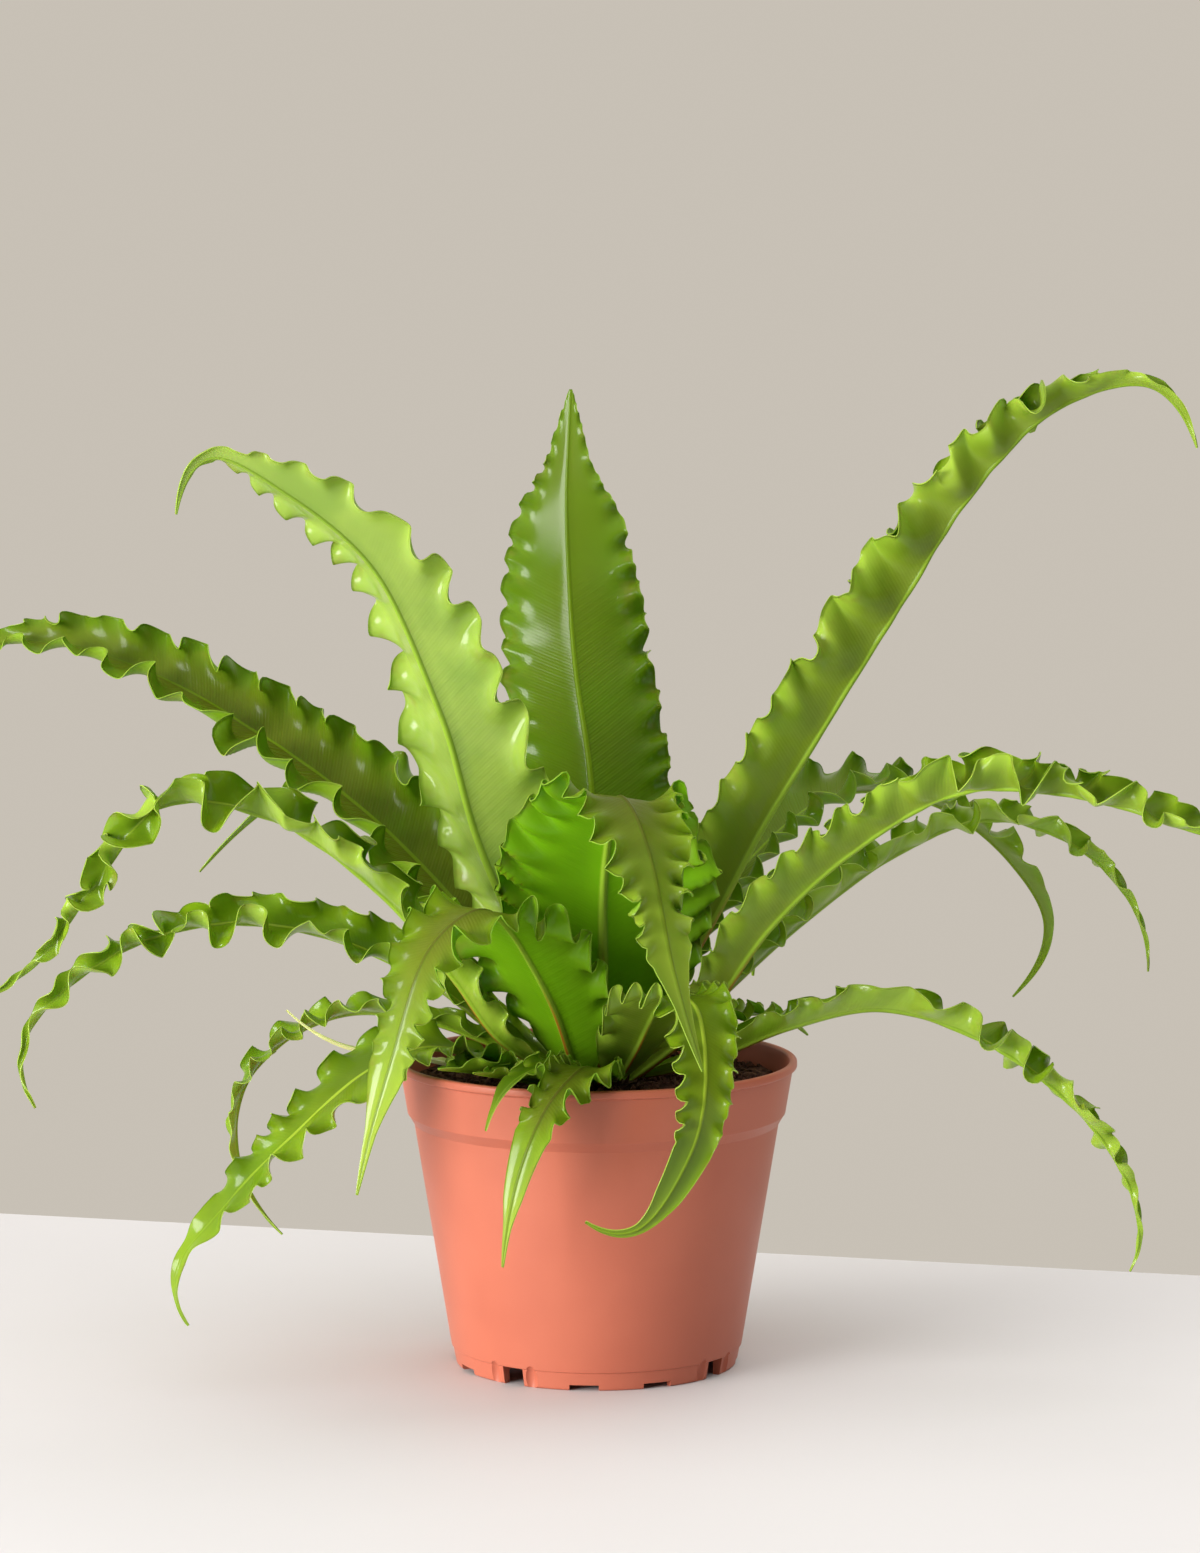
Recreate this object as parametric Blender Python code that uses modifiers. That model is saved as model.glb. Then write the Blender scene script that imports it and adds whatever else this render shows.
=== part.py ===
"""Ruffled bird's nest fern in a plastic grow pot, for Blender 4.5.

Metres, +Z up. The pot stands on z = 0 with its axis on the Z axis, and -Y is the plant's front.
The plant is a rosette: every frond is one leaf that leaves the crown, rises, arches and tapers
to a tip. Each frond is a lofted blade along its midrib; the fine ruffles of its edge are left out.
"""
from typing import NamedTuple

import bmesh
import bpy
import numpy as np
from math import cos, pi, radians, sin

MM = 0.001
TURN_STEPS = 72

# Driving sizes of the pot, in millimetres
RIM_RADIUS = 76.0
POT_HEIGHT = 116.4
FOOT_RADIUS = 53.5
WALL = 1.3
COLLAR_DROP = 20.5
LIP = 1.6
FOOT_HEIGHT = 7.0
FLOOR_TOP = 6.2
FLOOR_UNDERSIDE = 5.0
FOOT_WIDTH = 3.0

# The potting mix and the crown, in millimetres
MIX_CLEARANCE = 0.35
MIX_TOP = 107.0
CROWN_RADIUS = 19.0
CROWN_RISE = 2.8

# Drain slots and foot notches round the base
SLOT_GROUPS = 4
SLOT_START_DEG = -125.0
SLOT_SIZE = (14.0, 10.0, 8.0)
SLOT_RADIUS = 51.0
SLOT_TOP = 6.8
NOTCH_OFFSETS_DEG = (30.0, 60.0)
NOTCH_SIZE = (8.0, 11.0, 4.0)
NOTCH_TOP = 2.2

# A frond's cross section, in millimetres
BLADE_STATIONS = 22
STALK_WIDTH = 5.0
TIP_WIDTH = 1.0
MIDRIB_THICKNESS = 1.2
EDGE_THICKNESS = 0.5


class Frond(NamedTuple):
    """One leaf: its midrib's route from crown to tip, and how its blade spreads and leans."""
    name: str
    finish: str
    route: tuple            # midrib points, millimetres
    width: float            # greatest width, millimetres
    widest: float           # where along the midrib it is widest, 0 at the crown and 1 at the tip
    taper: float            # 1 is a straight taper to the tip, 2 a full rounded one
    fold: float             # how far each half lifts from flat, degrees
    roll: tuple             # roll about the midrib at the crown and at the tip, degrees


FRONDS = (
    # The five tall fronds of the inner whorl
    Frond("frond_tall_back", "frond_deep",
          ((0, 9, 112), (0, 20, 170), (-5, 38, 235), (-11, 54, 290), (-10, 66, 367)),
          62, 0.44, 1.8, 6, (24, 18)),
    Frond("frond_bright_left", "frond_bright",
          ((-8, -1, 112), (-22, -8, 146), (-42, -20, 195), (-58, -34, 250), (-82, -48, 305),
           (-112, -58, 332), (-140, -64, 346), (-152, -64, 326)),
          52, 0.36, 1.5, 20, (-25, -20)),
    Frond("frond_great_right", "frond_bright",
          ((8, -3, 112), (36, -8, 156), (66, -18, 213), (104, -34, 278), (140, -46, 336),
           (168, -54, 364), (200, -60, 372), (217, -64, 350)),
          50, 0.40, 1.8, 46, (5, 0)),
    Frond("frond_long_left", "frond_deep",
          ((-7, 5, 112), (-36, 18, 150), (-72, 32, 190), (-110, 46, 222), (-160, 64, 250),
           (-215, 78, 268), (-270, 86, 256)),
          46, 0.35, 1.7, 25, (32, 32)),
    Frond("frond_fold_centre", "frond_olive",
          ((1, -9, 111), (2, -26, 150), (3, -50, 200), (8, -80, 225), (20, -104, 205),
           (28, -112, 165), (38, -112, 130)),
          54, 0.36, 1.1, 10, (0, 0)),

    # The arching fronds of the middle whorl
    Frond("frond_mid_left", "frond_bright",
          ((-13, -7, 110), (-36, -18, 126), (-54, -28, 152), (-80, -38, 184), (-120, -54, 214),
           (-158, -68, 220), (-182, -74, 192), (-205, -76, 162), (-230, -78, 150)),
          30, 0.30, 1.4, 42, (0, 0)),
    Frond("frond_low_left", "frond_bright",
          ((-15, 6, 110), (-38, 16, 123), (-66, 24, 143), (-108, 26, 160), (-150, 22, 164),
           (-190, 12, 150), (-217, 4, 122), (-213, 0, 97)),
          30, 0.30, 1.3, 35, (0, 0)),
    Frond("frond_behind_left", "frond_deep",
          ((-11, 12, 110), (-34, 44, 153), (-62, 78, 194), (-90, 106, 214), (-122, 122, 204),
           (-160, 128, 171)),
          38, 0.35, 1.4, 15, (0, 0)),
    Frond("frond_fold_left", "frond_olive",
          ((-7, -13, 110), (-16, -34, 140), (-30, -60, 172), (-44, -84, 184), (-60, -98, 172),
           (-74, -104, 132), (-86, -106, 84)),
          44, 0.33, 1.1, 10, (0, 5)),
    Frond("frond_near_right", "frond_bright",
          ((14, -8, 110), (38, -22, 132), (64, -44, 172), (94, -68, 204), (130, -96, 228),
           (168, -122, 230), (206, -145, 221), (244, -160, 208), (267, -165, 194)),
          36, 0.33, 1.6, 44, (5, 0)),
    Frond("frond_behind_right", "frond_deep",
          ((11, 9, 110), (36, 36, 150), (62, 64, 186), (98, 92, 207), (136, 108, 200),
           (166, 116, 176), (180, 118, 150), (167, 116, 122)),
          38, 0.36, 1.4, 15, (0, 0)),
    Frond("frond_thin_right", "frond_bright",
          ((16, 2, 110), (44, 12, 135), (80, 22, 166), (115, 32, 190), (150, 42, 202),
           (184, 48, 192), (208, 50, 167), (214, 50, 142)),
          25, 0.36, 1.4, 35, (0, 0)),
    Frond("frond_fold_right", "frond_bright",
          ((8, -15, 110), (15, -34, 125), (26, -62, 149), (37, -86, 148), (40, -97, 125),
           (34, -100, 98), (14, -100, 70), (-4, -100, 73)),
          36, 0.32, 1.1, 10, (0, 0)),
    Frond("frond_back_left", "frond_deep",
          ((-5, 15, 110), (-14, 42, 134), (-32, 78, 164), (-53, 114, 174), (-70, 144, 156),
           (-78, 160, 126)),
          38, 0.36, 1.4, 15, (0, 0)),
    Frond("frond_back_middle", "frond_deep",
          ((2, 16, 110), (4, 42, 156), (7, 76, 200), (9, 112, 208), (10, 144, 184), (8, 164, 138)),
          42, 0.36, 1.4, 15, (0, 0)),
    Frond("frond_back_right", "frond_deep",
          ((8, 15, 110), (20, 42, 137), (36, 78, 168), (50, 112, 177), (60, 142, 156), (64, 160, 124)),
          38, 0.36, 1.4, 15, (0, 0)),

    # The low old fronds of the outer whorl
    Frond("frond_floor_left", "frond_bright",
          ((-18, -9, 110), (-40, -21, 119), (-64, -37, 126), (-86, -52, 119), (-110, -62, 99),
           (-135, -66, 73), (-154, -68, 48), (-150, -68, 28)),
          30, 0.38, 1.2, 12, (0, 20)),
    Frond("frond_hook_left", "frond_bright",
          ((-20, 2, 110), (-42, 3, 122), (-68, 2, 131), (-94, 1, 133), (-118, -1, 123),
           (-134, -4, 104), (-135, -6, 76), (-119, -8, 50)),
          22, 0.40, 1.2, 20, (0, 0)),
    Frond("frond_pale_tip", "frond_pale",
          ((-20, -3.5, 110), (-44, -7, 113), (-70, -13, 119), (-96, -18, 124), (-116, -22, 138)),
          8, 0.40, 1.3, 20, (0, 0)),
    Frond("frond_low_right", "frond_bright",
          ((18, -4, 110), (42, -9, 117), (72, -14, 130), (106, -20, 138), (138, -26, 130),
           (168, -32, 112), (192, -36, 86), (202, -38, 60), (199, -38, 42)),
          24, 0.38, 1.3, 40, (0, 0)),
    Frond("frond_short_right", "frond_olive",
          ((18, 8, 110), (34, 20, 120), (52, 32, 127), (68, 42, 126), (82, 50, 117)),
          24, 0.40, 1.5, 15, (0, 0)),
    Frond("frond_rim_front", "frond_olive",
          ((1, -19, 110), (0, -42, 118), (-6, -70, 123), (-18, -89, 112), (-28, -95, 88),
           (-34, -93, 55)),
          22, 0.42, 1.0, 10, (0, 0)),
    Frond("frond_rim_small", "frond_bright",
          ((-5, -19, 110), (-11, -43, 117), (-21, -65, 123), (-33, -81, 118), (-40, -88, 104)),
          11, 0.50, 1.4, 10, (0, 0)),
    Frond("frond_base_left", "frond_deep",
          ((-15, -15, 110), (-31, -32, 114), (-46, -48, 119), (-58, -60, 122)),
          18, 0.50, 1.6, 15, (0, 0)),
    Frond("frond_base_front", "frond_deep",
          ((-11, -19, 110), (-21, -37, 113), (-33, -55, 118), (-45, -69, 122)),
          12, 0.50, 1.5, 15, (0, 0)),
)

# Colour and roughness of each finish
FINISHES = {
    "pot_plastic": ((0.62, 0.17, 0.10), 0.45),
    "potting_mix": ((0.035, 0.018, 0.012), 0.95),
    "crown_scales": ((0.055, 0.035, 0.018), 0.90),
    "frond_bright": ((0.17, 0.38, 0.03), 0.35),
    "frond_deep": ((0.07, 0.22, 0.02), 0.32),
    "frond_olive": ((0.18, 0.27, 0.04), 0.38),
    "frond_pale": ((0.50, 0.60, 0.20), 0.50),
}


def clear_scene():
    for thing in list(bpy.data.objects):
        bpy.data.objects.remove(thing, do_unlink=True)


def new_collection(name):
    collection = bpy.data.collections.new(name)
    bpy.context.scene.collection.children.link(collection)
    return collection


def finish_material(name):
    """Get or make the Principled material of one finish."""
    material = bpy.data.materials.get(name)
    if material is None:
        colour, roughness = FINISHES[name]
        material = bpy.data.materials.new(name)
        material.use_nodes = True
        shader = material.node_tree.nodes["Principled BSDF"]
        shader.inputs["Base Color"].default_value = (*colour, 1.0)
        shader.inputs["Roughness"].default_value = roughness
        shader.inputs["Metallic"].default_value = 0.0
        material.diffuse_color = (*colour, 1.0)
    return material


def add_object(name, mesh, collection, finish=None):
    thing = bpy.data.objects.new(name, mesh)
    collection.objects.link(thing)
    if finish:
        mesh.materials.append(finish_material(finish))
    return thing


def turned(name, profile, collection, finish):
    """Turn a profile of (radius, height) points, in millimetres, about the Z axis."""
    mesh = bpy.data.meshes.new(name)
    points = [(radius * MM, 0.0, height * MM) for radius, height in profile]
    edges = [(i, i + 1) for i in range(len(points) - 1)]
    mesh.from_pydata(points, edges, [])
    thing = add_object(name, mesh, collection, finish)
    screw = thing.modifiers.new("turn", "SCREW")
    screw.axis = "Z"
    screw.steps = TURN_STEPS
    screw.render_steps = TURN_STEPS
    screw.use_merge_vertices = True
    screw.merge_threshold = 0.00001
    screw.use_smooth_shade = False
    return thing


def box_cutter(name, size, angle_deg, radius, top, collection):
    """A box on a radius of the pot, its top at a given height, all in millimetres."""
    bpy.ops.mesh.primitive_cube_add(size=1.0)
    cutter = bpy.context.object
    cutter.name = name
    angle = radians(angle_deg)
    cutter.scale = [side * MM for side in size]
    cutter.rotation_euler.z = angle
    cutter.location = (radius * cos(angle) * MM, radius * sin(angle) * MM, (top - size[2] / 2) * MM)
    for home in list(cutter.users_collection):
        home.objects.unlink(cutter)
    collection.objects.link(cutter)
    cutter.hide_render = True
    cutter.display_type = "WIRE"
    return cutter


def collar_outline(inset):
    """The pot's wall from the rim down to the floor, set in from the outer face."""
    collar_bottom = POT_HEIGHT - COLLAR_DROP
    return [
        (RIM_RADIUS - LIP - inset, POT_HEIGHT - 3.6),
        (RIM_RADIUS - 4.5 - inset, collar_bottom + 1.4),
        (RIM_RADIUS - 5.5 - inset, collar_bottom - 0.4),
        (RIM_RADIUS - 8.4 - inset, collar_bottom - 2.9),
        (RIM_RADIUS - 8.8 - inset, collar_bottom - 4.0),
        (FOOT_RADIUS + 2.1 - inset, FOOT_HEIGHT + 2.0),
    ]


def make_pot(parts, cutters):
    """The moulded pot: rolled lip, stacking collar, tapered wall, floor and a notched foot."""
    outside = collar_outline(0.0)
    inside = collar_outline(WALL)
    profile = [(0.0, FLOOR_TOP), (FOOT_RADIUS - 1.0, FLOOR_TOP)]
    profile += reversed(inside)
    profile += [
        (RIM_RADIUS - 2.7, POT_HEIGHT - 0.7),
        (RIM_RADIUS - 2.0, POT_HEIGHT),
        (RIM_RADIUS - 0.7, POT_HEIGHT),
        (RIM_RADIUS, POT_HEIGHT - 0.8),
        (RIM_RADIUS, POT_HEIGHT - 2.4),
        (RIM_RADIUS - 0.6, POT_HEIGHT - 3.1),
    ]
    profile += outside
    profile += [
        (FOOT_RADIUS + 1.6, FOOT_HEIGHT),
        (FOOT_RADIUS + 0.9, FOOT_HEIGHT - 0.6),
        (FOOT_RADIUS, 0.8),
        (FOOT_RADIUS - 0.4, 0.0),
        (FOOT_RADIUS - FOOT_WIDTH, 0.0),
        (FOOT_RADIUS - FOOT_WIDTH, FLOOR_UNDERSIDE),
        (0.0, FLOOR_UNDERSIDE),
    ]
    pot = turned("pot", profile, parts, "pot_plastic")

    for group in range(SLOT_GROUPS):
        start = SLOT_START_DEG + group * 360.0 / SLOT_GROUPS
        openings = [("drain_slot", start, SLOT_SIZE, SLOT_TOP)]
        openings += [("foot_notch", start + offset, NOTCH_SIZE, NOTCH_TOP) for offset in NOTCH_OFFSETS_DEG]
        for kind, angle, size, top in openings:
            cutter = box_cutter(f"{kind}_cut", size, angle, SLOT_RADIUS, top, cutters)
            cut = pot.modifiers.new(kind, "BOOLEAN")
            cut.operation = "DIFFERENCE"
            cut.solver = "EXACT"
            cut.object = cutter
    return pot


def make_potting_mix(parts):
    """The plug of mix that fills the pot, a hair clear of its wall and floor."""
    wall = collar_outline(WALL + MIX_CLEARANCE)
    below_top = [point for point in wall if point[1] < MIX_TOP]
    rim, shoulder = wall[0], wall[1]
    share = (rim[1] - MIX_TOP) / (rim[1] - shoulder[1])
    top_radius = rim[0] + (shoulder[0] - rim[0]) * share
    profile = [(0.0, MIX_TOP), (top_radius, MIX_TOP)]
    profile += below_top
    profile += [
        (FOOT_RADIUS - 1.6, FLOOR_TOP + MIX_CLEARANCE),
        (0.0, FLOOR_TOP + MIX_CLEARANCE),
    ]
    return turned("potting_mix", profile, parts, "potting_mix")


def make_crown(parts):
    """The low scaly crown that every frond grows from."""
    rings = 5
    base = MIX_TOP + MIX_CLEARANCE
    profile = []
    for ring in range(rings + 1):
        angle = pi / 2 * ring / rings
        profile.append((CROWN_RADIUS * sin(angle), base + 0.4 + (CROWN_RISE - 0.4) * cos(angle)))
    profile[-1] = (CROWN_RADIUS, base + 0.4)
    profile += [(CROWN_RADIUS - 0.5, base), (0.0, base)]
    return turned("crown", profile, parts, "crown_scales")


def smooth_route(points, count):
    """Evenly spaced points on one smooth curve through the given ones."""
    points = np.array(points, float)
    knots = np.concatenate([[0.0], np.cumsum(np.sqrt(np.linalg.norm(np.diff(points, axis=0), axis=1)))])
    slopes = np.gradient(points, knots, axis=0, edge_order=2)
    fine = np.linspace(0.0, knots[-1], 40 * len(points))
    span = np.clip(np.searchsorted(knots, fine, side="right") - 1, 0, len(points) - 2)
    step = (knots[span + 1] - knots[span])[:, None]
    x = (fine - knots[span])[:, None] / step
    curve = ((2 * x**3 - 3 * x**2 + 1) * points[span]
             + (x**3 - 2 * x**2 + x) * step * slopes[span]
             + (3 * x**2 - 2 * x**3) * points[span + 1]
             + (x**3 - x**2) * step * slopes[span + 1])
    travelled = np.concatenate([[0.0], np.cumsum(np.linalg.norm(np.diff(curve, axis=0), axis=1))])
    even = np.linspace(0.0, travelled[-1], count)
    return np.stack([np.interp(even, travelled, curve[:, axis]) for axis in range(3)], axis=1)


def unit(vectors):
    return vectors / np.linalg.norm(vectors, axis=-1, keepdims=True)


def blade_frames(route, roll):
    """Sideways and face directions along a midrib, carried along without twist, then rolled."""
    along = unit(np.gradient(route, axis=0))
    outward = route[len(route) // 2] * (1.0, 1.0, 0.0)
    side = np.cross(outward, (0.0, 0.0, 1.0))
    sides = []
    for direction in along:
        side = unit(side - direction * side.dot(direction))
        sides.append(side)
    sides = np.array(sides)
    faces = np.cross(sides, along)
    angle = np.radians(np.linspace(roll[0], roll[1], len(route)))[:, None]
    rolled = sides * np.cos(angle) + faces * np.sin(angle)
    return rolled, np.cross(rolled, along)


def blade_widths(frond, count):
    """Width along the blade: it spreads from the stalk, then tapers to the tip."""
    place = np.linspace(0.0, 1.0, count)
    spread = np.sin(np.clip(place / frond.widest, 0.0, 1.0) * pi / 2) ** 1.4
    tail = np.clip((place - frond.widest) / (1.0 - frond.widest), 0.0, 1.0)
    return np.where(place < frond.widest,
                    STALK_WIDTH + (frond.width - STALK_WIDTH) * spread,
                    TIP_WIDTH + (frond.width - TIP_WIDTH) * (1.0 - tail ** frond.taper))


def make_frond(frond, parts):
    """Loft one blade: a shallow channel, thickest at its midrib, closed at both ends."""
    route = smooth_route(frond.route, BLADE_STATIONS)
    sides, faces = blade_frames(route, frond.roll)
    half = blade_widths(frond, BLADE_STATIONS) / 2
    across = half * cos(radians(frond.fold))
    lift = half * sin(radians(frond.fold))

    build = bmesh.new()
    loops = []
    for point, side, face, reach, rise in zip(route, sides, faces, across, lift):
        ring = []
        for surface in (1, -1):
            for hand in (1, 0, -1)[::surface]:
                thickness = EDGE_THICKNESS if hand else MIDRIB_THICKNESS
                place = point + side * hand * reach + face * (abs(hand) * rise + surface * thickness / 2)
                ring.append(build.verts.new(place * MM))
        loops.append(ring)
    sides_count = len(loops[0])
    for ring, after in zip(loops, loops[1:]):
        for i in range(sides_count):
            j = (i + 1) % sides_count
            build.faces.new((ring[i], after[i], after[j], ring[j]))
    for ring, turn in ((loops[0], 1), (loops[-1], -1)):
        for corners in ((0, 1, 4, 5), (1, 2, 3, 4)):
            build.faces.new([ring[corner] for corner in corners[::turn]])
    mesh = bpy.data.meshes.new(frond.name)
    build.to_mesh(mesh)
    build.free()
    mesh.shade_smooth()
    return add_object(frond.name, mesh, parts, frond.finish)


def main():
    clear_scene()
    parts = new_collection("potted_fern")
    cutters = new_collection("cutters")
    make_pot(parts, cutters)
    make_potting_mix(parts)
    make_crown(parts)
    for frond in FRONDS:
        make_frond(frond, parts)


main()
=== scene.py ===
# %% [markdown]
# # A ruffled bird's nest fern in its grow pot
#
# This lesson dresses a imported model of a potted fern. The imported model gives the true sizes: a
# moulded pot, a plug of potting mix, a scaly crown and twenty-five fronds, each a plain blade.
# Here every one of them gets its real surface. The hard part is the frond. Its middle is a calm,
# glossy strap, while its edge grows longer than its middle and so has to buckle into ruffles.
#
# Units are metres in Blender and millimetres in the tables below.

# %% Load the frame
from math import cos, pi, radians, sin
from typing import NamedTuple

import bmesh
import bpy
import numpy as np
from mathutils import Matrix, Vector


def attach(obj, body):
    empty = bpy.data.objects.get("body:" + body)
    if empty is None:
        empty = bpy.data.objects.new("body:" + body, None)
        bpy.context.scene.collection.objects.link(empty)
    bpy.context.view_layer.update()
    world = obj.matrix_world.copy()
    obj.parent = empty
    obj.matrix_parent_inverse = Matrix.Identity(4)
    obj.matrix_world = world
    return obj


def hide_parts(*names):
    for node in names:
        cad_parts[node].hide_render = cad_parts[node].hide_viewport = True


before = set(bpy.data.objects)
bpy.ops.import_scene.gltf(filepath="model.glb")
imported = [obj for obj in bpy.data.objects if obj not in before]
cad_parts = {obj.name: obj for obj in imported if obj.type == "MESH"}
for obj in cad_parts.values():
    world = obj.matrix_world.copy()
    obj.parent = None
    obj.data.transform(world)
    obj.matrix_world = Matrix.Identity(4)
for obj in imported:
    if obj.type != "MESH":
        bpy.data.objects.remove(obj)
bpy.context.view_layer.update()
MM = 0.001
scene = bpy.context.scene
print("nodes in the frame:", len(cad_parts))

# %% [markdown]
# ## Camera
#
# A plant is best seen through a long lens nearly two metres away, a little above it and tilted
# down by six degrees. Such a lens keeps the fronds that reach towards us from looking oversized.
# The camera comes first, because every later choice is judged through it.

# %% Camera
TILT_DOWN = 6.215

camera_data = bpy.data.cameras.new("camera")
camera_data.lens = 117.6
camera_data.sensor_width = 36.0
camera = bpy.data.objects.new("camera", camera_data)
camera.location = (0.0013, -1.900, 0.4305)
camera.rotation_euler = (radians(90.0 - TILT_DOWN), 0.0, 0.0)
scene.collection.objects.link(camera)
scene.camera = camera
scene.view_settings.view_transform = "Standard"
print("camera stands", round(camera.location.length, 2), "m from the pot's foot")

# %% [markdown]
# ## Shader expressions
#
# A material is easier to read as arithmetic than as a web of nodes. `Value` wraps one socket and
# adds a Math node for each operator, so `0.4 + 0.2 * noise` builds the nodes it describes.
# `Nodes` fills one node tree. Its `node` method makes any other node from a type, its settings
# and its inputs, and `mix` blends two colours, which a Math node would turn grey. `Finish` is
# such a tree with a material's shader at its end. The world's tree, further down, has none.

# %% Shader expressions
# The Mix node has one set of sockets for each kind of data; these are the ones for colours.
MIX_SHARE, MIX_FIRST, MIX_SECOND, MIX_RESULT = 0, 6, 7, 2


class Value:
    """A number or colour that varies from place to place."""

    def __init__(self, nodes, socket):
        self.nodes = nodes
        self.socket = socket

    def math(self, operation, *inputs):
        return self.nodes.node("ShaderNodeMath", {"operation": operation}, dict(enumerate(inputs)))

    def __add__(self, other):
        return self.math("ADD", self, other)

    __radd__ = __add__

    def __sub__(self, other):
        return self.math("SUBTRACT", self, other)

    def __rsub__(self, other):
        return self.math("SUBTRACT", other, self)

    def __mul__(self, other):
        return self.math("MULTIPLY", self, other)

    __rmul__ = __mul__

    def __abs__(self):
        return self.math("ABSOLUTE", self)

    def sine(self):
        return self.math("SINE", self)

    def between(self, low, high):
        """0 below low, 1 above high, and a smooth rise between them."""
        sockets = {"Value": self, "From Min": low, "From Max": high}
        return self.nodes.node("ShaderNodeMapRange", {"interpolation_type": "SMOOTHSTEP"}, sockets)


class Nodes:
    """The nodes of one tree."""

    def __init__(self, tree):
        self.tree = tree

    def node(self, kind, settings=None, sockets=None, output=0):
        """Add a node, and give one of its outputs."""
        made = self.tree.nodes.new(kind)
        for setting, choice in (settings or {}).items():
            setattr(made, setting, choice)
        for key, given in (sockets or {}).items():
            if isinstance(given, Value):
                self.tree.links.new(given.socket, made.inputs[key])
            else:
                made.inputs[key].default_value = given
        return Value(self, made.outputs[output])

    def mix(self, share, first, second):
        """Blend two colours."""
        sockets = {MIX_SHARE: share}
        for slot, colour in ((MIX_FIRST, first), (MIX_SECOND, second)):
            sockets[slot] = colour if isinstance(colour, Value) else (*colour, 1.0)
        return self.node("ShaderNodeMix", {"data_type": "RGBA"}, sockets, output=MIX_RESULT)


class Finish(Nodes):
    """One Principled material and the nodes behind it."""

    def __init__(self, name, constants):
        self.material = bpy.data.materials.new(name)
        self.material.use_nodes = True
        super().__init__(self.material.node_tree)
        self.shader = self.tree.nodes["Principled BSDF"]
        for socket, constant in constants.items():
            self.shader.inputs[socket].default_value = constant

    def attribute(self, name):
        return self.node("ShaderNodeAttribute", {"attribute_name": name}, output="Fac")

    def noise(self, size_mm, detail):
        """Noise in the object's own space, with features about size_mm across."""
        place = self.node("ShaderNodeTexCoord", output="Object")
        sockets = {"Vector": place, "Scale": 1.0 / (size_mm * MM), "Detail": detail}
        return self.node("ShaderNodeTexNoise", {}, sockets)

    def feed(self, socket, value):
        self.tree.links.new(value.socket, self.shader.inputs[socket])

    def bump(self, height, depth_mm):
        sockets = {"Height": height, "Distance": depth_mm * MM, "Strength": 1.0}
        self.feed("Normal", self.node("ShaderNodeBump", {}, sockets))


# %% [markdown]
# ## The pot's plastic
#
# Grow pots are moulded in polypropylene, coloured all the way through. The surface is satin, with
# a soft sheen and a faint unevenness left by the mould. Noise shifts the colour and roughness a
# little, because one flat colour would look like a diagram.

# %% Pot plastic
TERRACOTTA = (0.490, 0.134, 0.077)
TERRACOTTA_DEEP = (0.460, 0.122, 0.070)


def pot_plastic():
    finish = Finish("pot_plastic", {"Specular IOR Level": 0.40})
    cloud = finish.noise(38.0, 2.0)
    grain = finish.noise(0.9, 2.0)
    colour = finish.mix(cloud.between(0.35, 0.7), TERRACOTTA, TERRACOTTA_DEEP)
    finish.feed("Base Color", colour)
    finish.feed("Roughness", 0.37 + 0.08 * cloud)
    finish.bump(grain, 0.03)
    return finish.material


# %% [markdown]
# ## The pot
#
# A pot is turned: its wall is the same all the way round, so one profile and a Screw modifier
# make it. The profile below walks from the middle of the floor, up the inside, over the rolled
# lip and down the outside. Round corners are short arcs. The feet are what isn't turned: four
# drain slots with a thumb-shaped hollow on each side, and two shallow notches between them.
# Those are cut with Boolean modifiers after turning.

# %% Pot profile
RIM_RADIUS = 76.0
POT_HEIGHT = 116.4
FOOT_RADIUS = 53.5
WALL = 1.3
COLLAR_BOTTOM = POT_HEIGHT - 20.5
FLOOR_UNDER = 5.0
FLOOR_TOP = 6.2
POT_STEPS = 144


def arc(centre, radius, start_deg, end_deg, count=6):
    """Points on a round corner of a profile, as (radius, height)."""
    angles = np.radians(np.linspace(start_deg, end_deg, count))
    return [(centre[0] + radius * cos(a), centre[1] + radius * sin(a)) for a in angles]


def wall_line(inset):
    """The wall from under the lip to the foot, its corners rounded."""
    points = [(RIM_RADIUS - 1.6 - inset, POT_HEIGHT - 3.6)]
    points += arc((RIM_RADIUS - 5.2 - inset, COLLAR_BOTTOM + 0.7), 0.9, 0.0, -60.0)
    points += arc((RIM_RADIUS - 6.0 - inset, COLLAR_BOTTOM - 3.8), 0.9, 120.0, 184.0, 5)
    points.append((FOOT_RADIUS + 2.1 - inset, 9.0))
    return points


def pot_profile():
    """Half of the pot's section, from the middle of its floor round to the underside."""
    inside = wall_line(WALL)
    outside = wall_line(0.0)
    points = [(0.0, FLOOR_TOP), (FOOT_RADIUS - 1.0, FLOOR_TOP)]
    points += inside[::-1]
    points += arc((RIM_RADIUS - 1.7, POT_HEIGHT - 1.2), 1.2, 170.0, 90.0)
    points += arc((RIM_RADIUS - 1.0, POT_HEIGHT - 1.0), 1.0, 90.0, 0.0)
    points += arc((RIM_RADIUS - 0.8, POT_HEIGHT - 2.3), 0.8, 0.0, -80.0)
    points += outside
    points += [(FOOT_RADIUS + 1.75, 7.2), (FOOT_RADIUS + 1.2, 6.8), (FOOT_RADIUS + 0.1, 1.0)]
    points += arc((FOOT_RADIUS - 0.9, 1.0), 1.0, 0.0, -90.0)
    points += [(FOOT_RADIUS - 3.0, 0.0), (FOOT_RADIUS - 3.0, FLOOR_UNDER), (0.0, FLOOR_UNDER)]
    return points


# %% Turn a profile
def evaluated_mesh(thing, name):
    """The mesh a thing's modifiers make, as a mesh of its own."""
    graph = bpy.context.evaluated_depsgraph_get()
    mesh = bpy.data.meshes.new_from_object(thing.evaluated_get(graph))
    mesh.name = name
    return mesh


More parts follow.
